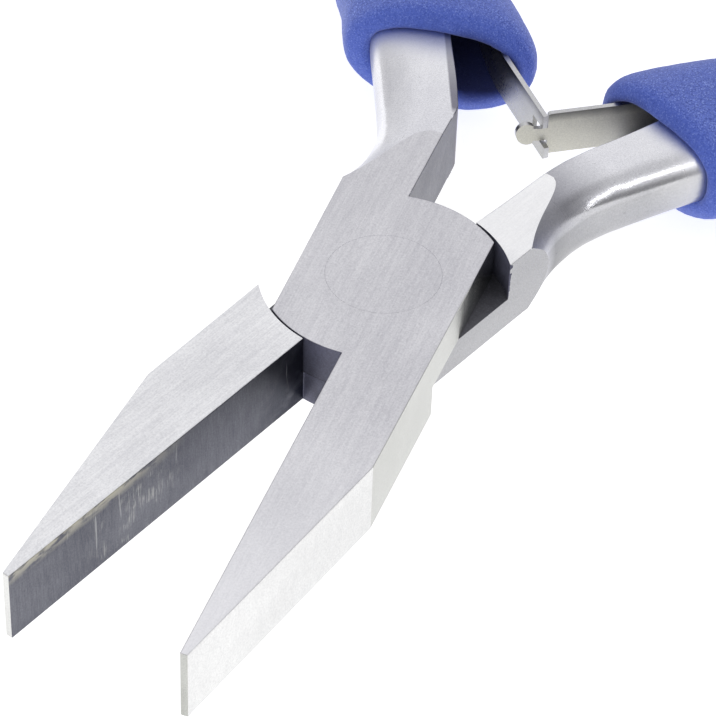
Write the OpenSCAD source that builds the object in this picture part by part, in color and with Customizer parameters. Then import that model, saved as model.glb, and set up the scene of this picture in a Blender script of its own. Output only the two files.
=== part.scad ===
// Flat nose pliers: two lapped halves on a flush rivet, twin leaf springs that
// hook into each other between the handles, and foam grips.
// Origin: on the pivot axis, in the plane of the head's underside.
// The jaws point along -Y, the handles along +Y, and +Z is up through the pivot.
// Both halves are drawn closed, as the upper half with its jaw on +X, and are
// then mirrored where needed and turned about the pivot to the rest opening.

/* [Opening] */
// Angle that each half is turned from closed at rest, in degrees
open_half = 9.56; // [0:0.1:11]

/* [Head] */
// Thickness of the jaws and head
head_t = 6.4; // [6:0.1:7]
// Height of the lap plane, where the two halves slide on each other
lap_z = 2.9; // [2.7:0.1:3.4]
// Radius of the round lap around the pivot
lap_r = 9.5; // [9:0.1:10]
// Pivot to jaw tip
jaw_l = 41.8; // [36:0.5:46]
// Pivot to where the jaw's outer side starts to taper
taper_y = 20.1; // [16:0.5:24]
// Half width of one jaw at its tip
tip_w = 0.62; // [0.4:0.05:1.5]
// Width of one jaw where the taper starts
taper_w = 6.3; // [5.5:0.1:7]

/* [Pivot rivet] */
// Radius of the flush countersunk heads
rivet_head_r = 4.5; // [4:0.1:5]
// Radius of the shank
rivet_r = 2.7; // [2.2:0.1:3]
// Depth of each countersink
rivet_sink = 1.5; // [1:0.1:2]

/* [Leaf springs] */
// Thickness of the strip
leaf_t = 0.42; // [0.3:0.02:0.5]
// Width of the strip
leaf_w = 4.1; // [3.8:0.1:4.6]
// Length from the root rivet to where the two springs cross
leaf_l = 30.2; // [29.9:0.1:30.5]
// Height of the slot in the forked spring
slot_h = 1.6; // [1.5:0.1:1.8]
// Height of the neck that runs in the slot
neck_h = 1.25; // [1:0.05:1.3]
// Radius of the round head that keeps the neck in the slot
tab_r = 1.05; // [1:0.05:1.2]

/* [Grips] */
// Half the height of a grip where the palm holds it
foam_h = 5.8; // [5.6:0.1:6.6]

/* [Hidden] */
$fn = 96;

mid_z = head_t / 2;
jaw_clear = 0.02;          // each gripping face to the centre plane when closed
lap_clear = 0.04;          // between the two lap plates
arc_clear = 0.15;          // round the lap plates, to the walls they turn in
bore_clear = 0.04;         // round the rivet, in the half that turns on it
edge_slope = 0.019;        // the head widens slightly towards the handles
far = 60;

// Handle section stations, as forged and then ground by hand, so the two inner
// sides differ a little: [y, outer side x, inner side x of the upper half, of the lower]
UPPER = 2;
LOWER = 3;
HANDLE = [[4, -10.6, -1.2, -1.75], [7, -9.2, -1.2, -1.75], [9.7, -7.75, -1.2, -1.75],
          [12, -6.95, -1.2, -1.9], [14.5, -6.62, -1.2, -2.05], [17.5, -6.8, -1.2, -2.2],
          [20, -7.5, -1.2, -2.45], [22.5, -8.5, -1.75, -3], [25.4, -9.8, -2.85, -3.95],
          [30, -11.7, -4.8, -5.3], [36, -13.9, -7.2, -7.3], [43, -16.2, -9.75, -9.75],
          [50, -18.2, -12, -12], [58, -19.9, -14.2, -14.2], [66, -20.9, -15.7, -15.7],
          [74, -21.2, -16.5, -16.5], [83, -20.8, -16.8, -16.8]];
neck_y = 14.5;             // narrowest place behind the head
foam_drop = 0.25;          // middle of the grips below the middle of the handles
lip_clear = 0.05;          // each grip's flared mouth to the centre plane when closed

// Foam stations: [y at the middle, outer side x, inner side x, half height (outside, as
// a fraction of foam_h), slope of the ring across the grip, its lean towards the underside]
FOAM_OUT = [[29.2, -12.6, 1.4, 0.85, 0.21, 0.17], [29.9, -13.4, 1.9, 0.93, 0.21, 0.17],
            [31.6, -14.2, 1.6, 0.95, 0.23, 0.17], [35.2, -15.6, -0.8, 0.93, 0.28, 0.15],
            [40.2, -17.9, -4.7, 0.93, 0.34, 0.1], [46, -20.2, -7.7, 0.95, 0.33, 0.05],
            [52, -22, -9.4, 0.98, 0.26, 0], [60, -23.5, -11.5, 1, 0.16, 0],
            [69, -24.3, -13, 1, 0.08, 0], [78, -24.3, -13.5, 0.98, 0, 0],
            [84, -23.6, -13.9, 0.9, 0, 0], [86.4, -22.4, -15, 0.7, 0, 0],
            [87.2, -20.6, -16.8, 0.36, 0, 0]];
FOAM_IN = [[83.5, -20.6, -16.8, 2.6, 0, 0], [76, -21, -16.5, 3, 0, 0],
           [66, -20.9, -15.6, 3, 0.08, 0], [57, -19.7, -13.8, 3, 0.16, 0],
           [54.2, -19, -11, 3.1, 0.2, 0], [50, -18.2, -9.8, 3.2, 0.26, 0.02],
           [45, -16.8, -7.6, 3.3, 0.3, 0.05], [40, -15.2, -5, 3.5, 0.3, 0.1],
           [35, -13.6, -1.8, 3.7, 0.27, 0.15], [31.2, -12.4, 0.7, 3.9, 0.22, 0.17],
           [29.3, -12.1, 0.9, 4.1, 0.21, 0.17]];

// Leaf spring path, in the closed upper half's frame
root_y = 50.6;
root_rise = 0.2;           // gap under the strip at its root, where its bending is hinged
root_lean = 17.3;          // lean of the handle's inner side there
leaf_bias = 1.3;           // turns both springs one way, so they cross off centre
leaf_lean = 28;            // lean of the strip from the root
leaf_run = 18;             // straight run before the bend
leaf_bend_r = 30;          // radius of the bend
tip_lean = 39.5;           // lean of the strip past the bend
pad_l = 3;                 // strip behind the root rivet
bend_l = leaf_bend_r * (tip_lean - leaf_lean) * PI / 180;
neck_half = 0.52;          // from the crossing to the neck's round head
neck_back = 0.72;          // from the crossing back to the full width of the strip
leaf_rivet_r = 0.8;
leaf_rivet_head_r = 1.4;
leaf_rivet_rise = 0.45;    // room between the strip and the rivet's head

// ---- helpers ----

// x of the head's straight side at a given y
function edge_x(y) = taper_w + edge_slope * (y + taper_y);

// Smooth value from a table of [y, value, value ...] rows, by cubic Hermite
function slope_at(t, i, c) =
    let (a = max(i - 1, 0), b = min(i + 1, len(t) - 1))
    (t[b][c] - t[a][c]) / (t[b][0] - t[a][0]);
function seg(t, y) = min(len(t) - 2, len([for (r = t) if (r[0] <= y) 1]) - 1);
function smooth(t, y, c) =
    let (i = max(0, seg(t, y)), d = t[i + 1][0] - t[i][0], u = (y - t[i][0]) / d)
    (2 * pow(u, 3) - 3 * pow(u, 2) + 1) * t[i][c]
    + (pow(u, 3) - 2 * pow(u, 2) + u) * d * slope_at(t, i, c)
    + (-2 * pow(u, 3) + 3 * pow(u, 2)) * t[i + 1][c]
    + (pow(u, 3) - pow(u, 2)) * d * slope_at(t, i + 1, c);

root = [smooth(HANDLE, root_y, UPPER), root_y]
       + (root_rise + leaf_t / 2) * [cos(root_lean), sin(root_lean)];

function signed_pow(v, p) = sign(v) * pow(abs(v), p);

// Skin over rings of points that all have the same length
module skin(rings) {
    n = len(rings[0]);
    m = len(rings);
    sides = [for (j = [0:m - 2], i = [0:n - 1], k = [0, 1])
        let (a = j * n + i, b = j * n + (i + 1) % n)
        k == 0 ? [a, b, a + n] : [b, b + n, a + n]];
    first = [[for (i = [n - 1:-1:0]) i]];
    last = [[for (i = [0:n - 1]) (m - 1) * n + i]];
    polyhedron([for (r = rings, p = r) p], concat(first, sides, last), convexity = 6);
}

// Half height of the forged handle: tall at the head, where it is ground flat
function handle_h(y) = 2.98 + 1.45 * exp(-(y - 10) / 4.2);

// D-shaped section of the handle: flat inner side, rounded outer side
function handle_ring(y, side) =
    let (xo = smooth(HANDLE, y, 1), xi = smooth(HANDLE, y, side), h = handle_h(y))
    [for (a = [90:180 / 18:270.1])
        [xi + (xi - xo) * signed_pow(cos(a), 2 / 3), y, mid_z + h * signed_pow(sin(a), 2 / 3)]];

module handle(side) {
    skin(concat([for (y = [4:1.5:31]) handle_ring(y, side)],
                [for (y = [34.2:3.2:83]) handle_ring(y, side)]));
}

// Keeps the head's straight side and its ground faces on the handle
module handle_clip() {
    linear_extrude(head_t)
        polygon([[5, 0], [-edge_x(0), 0], [-edge_x(neck_y), neck_y], [-far, neck_y],
                 [-far, 2 * far], [5, 2 * far]]);
}

module jaw_2d() {
    polygon([[jaw_clear, -jaw_l], [tip_w, -jaw_l], [taper_w, -taper_y], [edge_x(0), 0],
             [jaw_clear, 0]]);
}

module plate_2d() {
    intersection() {
        circle(lap_r);
        polygon([[-edge_x(-lap_r), -lap_r], [edge_x(-lap_r), -lap_r],
                 [edge_x(lap_r), lap_r], [-edge_x(lap_r), lap_r]]);
    }
}

// One half, closed, with the jaw on +X. relief is the height range of the other
// half's lap plate; bore_r is the pivot bore.
module half(side, relief_from, relief_to, bore_r) {
    difference() {
        union() {
            linear_extrude(head_t) jaw_2d();
            linear_extrude(head_t) plate_2d();
            intersection() {
                handle(side);
                handle_clip();
            }
        }
        translate([0, 0, relief_from])
            cylinder(r = lap_r + arc_clear, h = relief_to - relief_from);
        translate([0, 0, -1]) cylinder(r = bore_r, h = head_t + 2);
        rivet_cones(bore_r - rivet_r);
        leaf_rivet_hole();
    }
}

module rivet_cones(grow) {
    translate([0, 0, -0.001])
        cylinder(r1 = rivet_head_r + grow, r2 = rivet_r + grow, h = rivet_sink);
    translate([0, 0, head_t - rivet_sink + 0.001])
        cylinder(r1 = rivet_r + grow, r2 = rivet_head_r + grow, h = rivet_sink);
}

// Puts the closed upper half at its rest opening
module upper_pose() { rotate([0, 0, open_half]) children(); }
module lower_pose() { rotate([0, 0, -open_half]) mirror([1, 0, 0]) children(); }

// ---- leaf springs ----

function leaf_dir(lean) = [sin(lean), -cos(lean)];
bend_start = root + leaf_run * leaf_dir(leaf_lean);
bend_centre = bend_start + leaf_bend_r * [cos(leaf_lean), sin(leaf_lean)];
bend_end = bend_centre - leaf_bend_r * [cos(tip_lean), sin(tip_lean)];
tip_run = leaf_l - leaf_run - bend_l;     // from the bend to the crossing

// Side line of the strip, off its middle line by d, from the root to tip_len past the bend
function leaf_line(d, tip_len) = concat(
    [root + d * [cos(leaf_lean), sin(leaf_lean)]],
    [for (a = [leaf_lean:(tip_lean - leaf_lean) / 8:tip_lean + 0.01])
        bend_centre - (leaf_bend_r - d) * [cos(a), sin(a)]],
    [bend_end + tip_len * leaf_dir(tip_lean) + d * [cos(tip_lean), sin(tip_lean)]]);

module leaf_strip(tip_len, w) {
    front = leaf_line(leaf_t / 2, tip_len);
    back = leaf_line(-leaf_t / 2, tip_len);
    translate([0, 0, mid_z - w / 2]) linear_extrude(w)
        polygon(concat(front, [for (i = [len(back) - 1:-1:0]) back[i]]));
}

// Flat behind the root rivet, along the handle
module leaf_pad() {
    translate([root.x, root.y, mid_z]) rotate([0, 0, root_lean])
        translate([-leaf_t / 2, -0.4, -leaf_w / 2]) cube([leaf_t, pad_l + 0.4, leaf_w]);
}

// Frame at the root rivet, with X along the rivet, away from the handle
module at_root() {
    translate([root.x, root.y, mid_z]) rotate([0, 0, root_lean]) rotate([0, 90, 0]) children();
}

// Frame at the crossing, with X along the strip towards its end
module at_crossing() {
    p = bend_end + tip_run * leaf_dir(tip_lean);
    translate([p.x, p.y, mid_z]) rotate([0, 0, tip_lean - 90]) children();
}

module leaf_root_hole() {
    at_root() translate([0, 0, -2]) cylinder(r = leaf_rivet_r + 0.2, h = 4);
}

module leaf_rivet_hole() {
    at_root() translate([0, 0, -4.5]) cylinder(r = leaf_rivet_r, h = 5);
}

module leaf_rivet() {
    head_z = leaf_t / 2 + leaf_rivet_rise;
    at_root() {
        translate([0, 0, -4.4]) cylinder(r = leaf_rivet_r, h = 4.4 + head_z + 0.2);
        translate([0, 0, head_z]) cylinder(r1 = leaf_rivet_head_r, r2 = 0.9, h = 0.6);
    }
}

module fork_leaf() {
    prong_l = 1.5;
    slot_back = 0.9;
    difference() {
        union() {
            leaf_strip(tip_run + prong_l, leaf_w);
            leaf_pad();
        }
        at_crossing() translate([-slot_back, -1, -slot_h / 2]) cube([4, 2, slot_h]);
        leaf_root_hole();
    }
}

module tab_leaf() {
    difference() {
        union() {
            leaf_strip(tip_run - neck_back, leaf_w);
            leaf_strip(tip_run + neck_half + 0.2, neck_h);
            leaf_pad();
            at_crossing() intersection() {
                translate([2 * neck_half, 0, 0]) rotate([90, 0, 0])
                    cylinder(r = tab_r, h = leaf_t, center = true);
                translate([neck_half, -1, -2]) cube([4, 2, 4]);
            }
        }
        leaf_root_hole();
    }
}

// ---- foam grips ----

// Superellipse ring across the grip, cut at a slant
function foam_ring(r, n, h) =
    let (cx = (r[1] + r[2]) / 2, hw = (r[2] - r[1]) / 2)
    [for (a = [0:360 / 28:359.9])
        let (u = hw * signed_pow(cos(a), 2 / n))
        let (w = r[3] * h * signed_pow(sin(a), 2 / n))
        [cx + u, r[0] + u * r[4] - w * r[5], mid_z - foam_drop + w]];

// A sock of foam: down the inside from its closed end to the mouth, and back outside.
// Its mouth is cut where the soft lips of the two grips press together when closed.
module foam() {
    difference() {
        skin(concat([for (r = FOAM_IN) foam_ring(r, 3, 1)],
                    [for (r = FOAM_OUT) foam_ring(r, 2.2, foam_h)]));
        translate([-lip_clear, 0, -far / 2]) cube(far);
    }
}

// ---- nodes ----

module upper_half() {
    color("lightgray") upper_pose() half(UPPER, -1, lap_z + lap_clear / 2, rivet_r + bore_clear);
}

module lower_half() {
    color("gainsboro") lower_pose() half(LOWER, lap_z - lap_clear / 2, head_t + 1, rivet_r);
}

module pivot_rivet() {
    color("silver") {
        cylinder(r = rivet_r, h = head_t);
        cylinder(r1 = rivet_head_r, r2 = rivet_r, h = rivet_sink);
        translate([0, 0, head_t - rivet_sink])
            cylinder(r1 = rivet_r, r2 = rivet_head_r, h = rivet_sink);
    }
}

// Turns a spring about its root
module biased(angle) {
    translate([root.x, root.y, 0]) rotate([0, 0, angle]) translate([-root.x, -root.y, 0]) children();
}

module fork_spring() { color("tan") upper_pose() biased(leaf_bias) fork_leaf(); }
module tab_spring() { color("tan") lower_pose() biased(-leaf_bias) tab_leaf(); }
module fork_spring_rivet() { color("dimgray") upper_pose() leaf_rivet(); }
module tab_spring_rivet() { color("dimgray") lower_pose() leaf_rivet(); }
module upper_grip() { color("royalblue") upper_pose() foam(); }
module lower_grip() { color("royalblue") lower_pose() foam(); }

upper_half();
lower_half();
pivot_rivet();
fork_spring();
tab_spring();
fork_spring_rivet();
tab_spring_rivet();
upper_grip();
lower_grip();
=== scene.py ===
import math
from collections import namedtuple

import bmesh
import bpy
import numpy as np
from mathutils import Matrix, Vector


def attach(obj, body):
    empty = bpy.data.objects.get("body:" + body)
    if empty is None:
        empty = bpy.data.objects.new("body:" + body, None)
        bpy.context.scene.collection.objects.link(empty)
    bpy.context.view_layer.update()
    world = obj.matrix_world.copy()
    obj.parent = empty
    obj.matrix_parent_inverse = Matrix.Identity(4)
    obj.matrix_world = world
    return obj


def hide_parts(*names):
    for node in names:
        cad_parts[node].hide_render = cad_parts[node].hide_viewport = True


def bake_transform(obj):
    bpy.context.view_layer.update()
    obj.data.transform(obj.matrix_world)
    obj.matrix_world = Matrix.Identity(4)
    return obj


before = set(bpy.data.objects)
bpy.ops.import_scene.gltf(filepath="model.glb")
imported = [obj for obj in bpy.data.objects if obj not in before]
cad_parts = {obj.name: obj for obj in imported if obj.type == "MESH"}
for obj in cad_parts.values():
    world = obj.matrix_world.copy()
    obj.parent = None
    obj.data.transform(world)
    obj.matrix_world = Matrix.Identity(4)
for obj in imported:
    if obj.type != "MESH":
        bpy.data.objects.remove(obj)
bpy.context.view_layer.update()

# ---------------------------------------------------------------- dimensions
# Millimetres, as in the CAD source. Both halves are drawn closed, as the upper
# half with its jaw on +X, and are then turned (and mirrored) to the rest opening.
MM = 0.001
OPEN_HALF = 9.56         # degrees that each half is turned at rest
HEAD_T = 6.4
MID_Z = HEAD_T / 2
LAP_Z = 2.9              # where the two lap plates meet
LAP_GAP = 0.02           # between each plate and that plane
LAP_R = 9.5              # round edge of a lap plate
ARC_R = 9.65             # round wall at the back of the jaw
ARC_IN_R, ARC_OUT_R = 9.58, 9.86     # the tang's wall opens towards its outer side
JAW_L = 41.8
JAW_CLEAR = 0.02         # from a gripping face to the middle plane, closed
TIP_W = 0.62
TAPER_Y, TAPER_W = 20.1, 6.3         # where the jaw's taper ends, and the jaw's width there
SIDE_SLOPE = 0.019       # the head widens slightly towards the handles
RIVET_R, RIVET_HEAD_R, RIVET_SINK = 2.7, 4.5, 1.5
BORE_GAP, SINK_GAP = 0.02, 0.016     # round the rivet's shank and its flush head
JOIN_Y = 9.72            # where the flat head ends and the lofted handle starts
SQUARE_END_Y = 14.5      # the head's ground sides cut the handle as far as this
FACET_END = 17.8         # the handle's flats are ground as far as this

# Handle: [y, outer side x, inner side x of the upper half, of the lower half]
UPPER, LOWER = 2, 3
HANDLE = [
    [4, -10.6, -1.2, -1.75], [7, -9.2, -1.2, -1.75], [9.7, -7.75, -1.2, -1.75],
    [12, -6.95, -1.2, -1.9], [14.5, -6.62, -1.2, -2.05], [17.5, -6.8, -1.2, -2.2],
    [20, -7.5, -1.2, -2.45], [21.6, -8.14, -1.2, -2.8], [22.5, -8.5, -1.5, -3],
    [25.4, -9.72, -2.6, -3.95], [30, -11.7, -4.6, -5.3], [36, -13.9, -7.2, -7.3],
    [43, -16.2, -9.75, -9.75], [50, -18.2, -12, -12], [58, -19.9, -14.2, -14.2],
    [66, -20.9, -15.7, -15.7], [74, -21.2, -16.5, -16.5], [83, -20.8, -16.8, -16.8]]


def edge_x(y):
    """The head's straight side."""
    return TAPER_W + SIDE_SLOPE * (y + TAPER_Y)


def on_circle(deg, r=1.0):
    """The point at an angle on a circle round the origin."""
    a = math.radians(deg)
    return Vector((r * math.cos(a), r * math.sin(a)))


def hermite(p, q, slope_p, slope_q, d, u):
    """Cubic from p to q over a length d, at the fraction u."""
    return ((2 * u**3 - 3 * u**2 + 1) * p + (u**3 - 2 * u**2 + u) * d * slope_p
            + (-2 * u**3 + 3 * u**2) * q + (u**3 - u**2) * d * slope_q)


def smooth(table, y, c):
    """Cubic Hermite through a table's rows, as the CAD source does it."""
    rows = len(table)
    i = max(0, min(rows - 2, sum(1 for r in table if r[0] <= y) - 1))

    def slope(k):
        a, b = max(k - 1, 0), min(k + 1, rows - 1)
        return (table[b][c] - table[a][c]) / (table[b][0] - table[a][0])

    d = table[i + 1][0] - table[i][0]
    u = (y - table[i][0]) / d
    return hermite(table[i][c], table[i + 1][c], slope(i), slope(i + 1), d, u)


def open_turn(lower):
    """Degrees from the closed half to the half at rest."""
    return -OPEN_HALF if lower else OPEN_HALF


def pose_matrix(lower):
    """From the closed upper frame in mm to the rest frame in metres."""
    turn = Matrix.Rotation(math.radians(open_turn(lower)), 4, "Z")
    flip = Matrix.Diagonal((-1 if lower else 1, 1, 1, 1))
    return Matrix.Scale(MM, 4) @ turn @ flip


# ---------------------------------------------------------------- node helpers
def new_material(name):
    mat = bpy.data.materials.new(name)
    mat.use_nodes = True
    nt = mat.node_tree
    nt.nodes.clear()
    out = nt.nodes.new("ShaderNodeOutputMaterial")
    bsdf = nt.nodes.new("ShaderNodeBsdfPrincipled")
    nt.links.new(bsdf.outputs[0], out.inputs[0])
    return mat, nt, bsdf


def add(nt, kind, inputs=None, **props):
    """A shader node with its properties and inputs set; an input may be another node's output."""
    n = nt.nodes.new("ShaderNode" + kind)
    for k, v in props.items():
        setattr(n, k, v)
    for k, v in (inputs or {}).items():
        put(nt, n.inputs[k], v)
    return n


def put(nt, socket, value):
    if isinstance(value, bpy.types.NodeSocket):
        nt.links.new(value, socket)
    else:
        socket.default_value = value


def math_node(nt, op, a, b=0.0, clamp=False):
    return add(nt, "Math", {0: a, 1: b}, operation=op, use_clamp=clamp).outputs[0]


def times(nt, a, b):
    return math_node(nt, "MULTIPLY", a, b)


def plus(nt, a, b):
    return math_node(nt, "ADD", a, b)


def ramp(nt, value, lo, hi, out_lo=0.0, out_hi=1.0):
    """Linear map, clamped."""
    return add(nt, "MapRange", {"Value": value, "From Min": lo, "From Max": hi,
                                "To Min": out_lo, "To Max": out_hi}).outputs[0]


def mix_color(nt, fac, a, b, blend="MIX"):
    n = add(nt, "Mix", data_type="RGBA", blend_type=blend)
    put(nt, n.inputs[0], fac)
    for socket, color in ((n.inputs[6], a), (n.inputs[7], b)):
        put(nt, socket, (*color, 1) if isinstance(color, tuple) else color)
    return n.outputs[2]


def millimetres(nt, vector):
    n = add(nt, "VectorMath", {0: vector}, operation="SCALE")
    n.inputs["Scale"].default_value = 1 / MM
    return n.outputs[0]


def local_mm(nt, turn):
    """Object coordinates in mm, along the axes of a half that is turned by `turn` degrees."""
    coords = add(nt, "TexCoord")
    n = add(nt, "Mapping", {"Vector": coords.outputs["Object"],
                            "Rotation": (0, 0, math.radians(-turn))}, vector_type="POINT")
    return millimetres(nt, n.outputs[0])


def split(nt, vector):
    return add(nt, "SeparateXYZ", {0: vector}).outputs


def stretched_noise(nt, vec, scale, detail, rough, seed):
    """Noise with scale features per mm along x, y and z; the seed shifts it."""
    v = add(nt, "VectorMath", {0: vec, 1: scale, 2: (seed, seed * 1.7, seed * 0.6)},
            operation="MULTIPLY_ADD")
    n = add(nt, "TexNoise", {"Vector": v.outputs[0], "Scale": 1.0, "Detail": detail,
                             "Roughness": rough})
    return n.outputs[0]


# ---------------------------------------------------------------- materials
# A metal on its way: its nodes, its coordinates in mm and its base colour so far
Surface = namedtuple("Surface", "mat nt bsdf vec color")


def scaled(color, k):
    return tuple(min(1.0, k * c) for c in color)


def recolor(surface, fac, tone, blend="MIX"):
    """Mixes a tone into a surface's base colour."""
    color = mix_color(surface.nt, fac, surface.color, tone, blend)
    put(surface.nt, surface.bsdf.inputs["Base Color"], color)
    return surface._replace(color=color)


def brushed(name, turn, tones, lines, seed, rough, bump=0.25, mottle=0.5, spots=0.0):
    """Ground steel between a light and a dark tone. lines is the number of grinding lines
    per mm along x, y and z of the half; mottle is the share of the broad patches."""
    mat, nt, bsdf = new_material(name)
    vec = local_mm(nt, turn)
    light, dark = tones
    fine = stretched_noise(nt, vec, tuple(lines), 3.0, 0.6, seed)
    coarse = stretched_noise(nt, vec, tuple(0.22 * k for k in lines), 2.0, 0.5, seed + 3)
    broad = stretched_noise(nt, vec, (0.16, 0.09, 0.2), 2.0, 0.5, seed + 7)
    grain = stretched_noise(nt, vec, (7.0, 6.0, 7.0), 2.0, 0.6, seed + 17)
    # mostly lines, with some grain between them
    lined = plus(nt, plus(nt, times(nt, fine, 0.42), times(nt, coarse, 0.26)), times(nt, grain, 0.32))
    fac = math_node(nt, "ADD", times(nt, ramp(nt, lined, 0.39, 0.61), 1 - mottle),
                    times(nt, ramp(nt, broad, 0.35, 0.65), mottle), clamp=True)
    surface = Surface(mat, nt, bsdf, vec, mix_color(nt, fac, dark, light))
    # a faint frosting of darker and paler specks
    frost = stretched_noise(nt, vec, (8.0, 7.0, 8.0), 2.0, 0.65, seed + 23)
    surface = recolor(surface, ramp(nt, frost, 0.52, 0.34, 0, 0.22), scaled(dark, 0.62))
    surface = recolor(surface, ramp(nt, frost, 0.56, 0.7, 0, 0.24), scaled(light, 1.2))
    if spots:
        pit = stretched_noise(nt, vec, (2.3, 1.6, 2.0), 4.0, 0.7, seed + 11)
        surface = recolor(surface, ramp(nt, pit, 0.66, 0.74, 0, spots), scaled(dark, 0.45))
    bsdf.inputs["Metallic"].default_value = 1.0
    put(nt, bsdf.inputs["Roughness"], ramp(nt, lined, 0.3, 0.7, rough - 0.05, rough + 0.08))
    bumps = add(nt, "Bump", {"Height": lined, "Strength": bump, "Distance": 0.04 * MM})
    nt.links.new(bumps.outputs[0], bsdf.inputs["Normal"])
    return surface


def gripping(name, turn):
    """Dark ground gripping face with cross scratches, worn patches, a worn top edge and painted shade
    towards the throat.
    """
    s = brushed(name, turn, ((0.225, 0.23, 0.26), (0.085, 0.088, 0.115)), (9, 7.0, 0.8), 5.0, 0.42,
                bump=0.5, mottle=0.45)
    nt, vec = s.nt, s.vec
    _, y, z = split(nt, vec)
    # painted shade, darker towards the throat
    patch = stretched_noise(nt, vec, (0.4, 0.42, 0.5), 3.0, 0.6, 21.0)
    throat_shade = times(nt, ramp(nt, y, -17.0, -10.5), ramp(nt, patch, 0.35, 0.55, 0.55, 1.0))
    s = recolor(s, throat_shade, (0.016, 0.018, 0.035))
    # pale scratches across the face: a patch of them near the middle, and a few elsewhere
    place = stretched_noise(nt, vec, (0.4, 0.42, 0.5), 2.0, 0.5, 8.0)
    window = times(nt, ramp(nt, y, -34.0, -31.0), ramp(nt, y, -26.0, -23.5, 1, 0))
    window = times(nt, window, ramp(nt, place, 0.5, 0.6))
    scratch = stretched_noise(nt, vec, (2, 9.0, 0.5), 3.0, 0.65, 2.5)
    scratch = times(nt, ramp(nt, scratch, 0.5, 0.6), window)
    s = recolor(s, times(nt, scratch, 0.7), (0.48, 0.48, 0.46))
    few = stretched_noise(nt, vec, (2, 1.9, 0.16), 2.0, 0.5, 33.0)
    s = recolor(s, ramp(nt, few, 0.69, 0.73, 0, 0.5), (0.5, 0.5, 0.5))
    # worn top edge, towards the tip
    wear = stretched_noise(nt, vec, (1, 0.55, 1.6), 3.0, 0.6, 12.0)
    edge = times(nt, ramp(nt, z, HEAD_T - 1.1, HEAD_T - 0.1), ramp(nt, y, -23.0, -30.0))
    s = recolor(s, times(nt, edge, ramp(nt, wear, 0.38, 0.52)), (0.5, 0.48, 0.4))
    return s.mat


def joint_wall(name, turn, tone):
    """Milled walls and floor of the lap, dark and oily."""
    s = brushed(name, turn, (tone, scaled(tone, 0.3)), (2.5, 2.5, 1.2), 9.0, 0.4, bump=0.5, mottle=0.75)
    s.bsdf.inputs["Metallic"].default_value = 0.35
    return s.mat


def nickel(name, turn, tones, rough):
    """Nickel plate, dull towards the cut upper edge."""
    s = brushed(name, turn, tones, (3.0, 1.8, 5.4), 14.0, rough, bump=0.12, mottle=0.6)
    wave = stretched_noise(s.nt, s.vec, (0.5, 0.3, 0.2), 2.0, 0.5, 3.0)
    height = plus(s.nt, split(s.nt, s.vec)[2], times(s.nt, wave, 0.6))
    dull = ramp(s.nt, height, MID_Z + 1.45, MID_Z + 2.3, 0, 0.75)
    return recolor(s, dull, (0.13, 0.13, 0.135)).mat


def nickel_edge(name):
    """The bright cut edges of the strips."""
    return brushed(name, 0, ((0.63, 0.63, 0.64), (0.47, 0.47, 0.475)), (5, 5, 5), 15.0, 0.3).mat


def foam_material(name, seed):
    """Royal blue foam: closed skin with fine pores, light specks, a smoother rim and painted shade in its
    hole.
    """
    mat, nt, bsdf = new_material(name)
    vec = millimetres(nt, add(nt, "TexCoord").outputs["Object"])
    grain = stretched_noise(nt, vec, (4.6, 4.6, 4.6), 3.0, 0.65, seed)
    fine = stretched_noise(nt, vec, (7.5, 7.5, 7.5), 2.0, 0.6, seed + 9)
    broad = stretched_noise(nt, vec, (0.22, 0.22, 0.22), 2.0, 0.5, seed + 4)
    rim, inside = (add(nt, "Attribute", attribute_name=label, attribute_type="GEOMETRY").outputs["Fac"]
                   for label in ("rim", "inside"))
    color = mix_color(nt, ramp(nt, grain, 0.34, 0.66), (0.075, 0.12, 0.46), (0.145, 0.215, 0.7))
    color = mix_color(nt, ramp(nt, broad, 0.3, 0.7, 0, 0.3), color, (0.06, 0.105, 0.47))
    color = mix_color(nt, ramp(nt, fine, 0.42, 0.34, 0, 0.75), color, (0.03, 0.05, 0.27))
    color = mix_color(nt, ramp(nt, fine, 0.57, 0.67, 0, 0.85), color, (0.33, 0.43, 0.9))
    color = mix_color(nt, times(nt, rim, 0.5), color, (0.06, 0.115, 0.55))
    # painted shade in the hole
    color = mix_color(nt, times(nt, inside, 0.85), color, (0.022, 0.03, 0.17))
    put(nt, bsdf.inputs["Base Color"], color)
    bsdf.inputs["Roughness"].default_value = 0.8
    bsdf.inputs["Specular IOR Level"].default_value = 0.35
    bsdf.inputs["Sheen Weight"].default_value = 0.2
    bsdf.inputs["Sheen Roughness"].default_value = 0.5
    height = plus(nt, times(nt, grain, 0.6), fine)
    bumps = add(nt, "Bump", {"Height": height, "Strength": 0.6, "Distance": 0.06 * MM})
    nt.links.new(bumps.outputs[0], bsdf.inputs["Normal"])
    return mat


# The surfaces of a half, and the (light, dark) tones of those that differ between the halves
GROUND, SIDE, GRIP, JOINT, POLISHED, INNER, TAPER, FLOOR, TANG = range(9)
# These tones hold painted light and shade: both halves and all their faces are the same steel, each
# lighter or darker as it catches the light.
UPPER_TONES_AS_LIT = {
    GROUND: ((0.725, 0.72, 0.745), (0.53, 0.525, 0.56)),
    SIDE: ((0.54, 0.545, 0.52), (0.43, 0.435, 0.41)),
    TAPER: ((0.83, 0.83, 0.825), (0.68, 0.68, 0.68)),
    TANG: ((0.55, 0.55, 0.56), (0.46, 0.46, 0.47))}
LOWER_TONES_AS_LIT = {
    GROUND: ((0.91, 0.91, 0.92), (0.665, 0.665, 0.69)),
    SIDE: ((0.77, 0.77, 0.75), (0.64, 0.64, 0.63)),
    TAPER: ((0.77, 0.77, 0.75), (0.64, 0.64, 0.63)),
    TANG: ((0.44, 0.44, 0.455), (0.38, 0.38, 0.395))}


def ground_top(name, turn, tones):
    """Flat faces, ground along the tool."""
    return brushed(name, turn, tones, (10.0, 0.5, 10.0), 1.0, 0.36, mottle=0.35)


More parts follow.
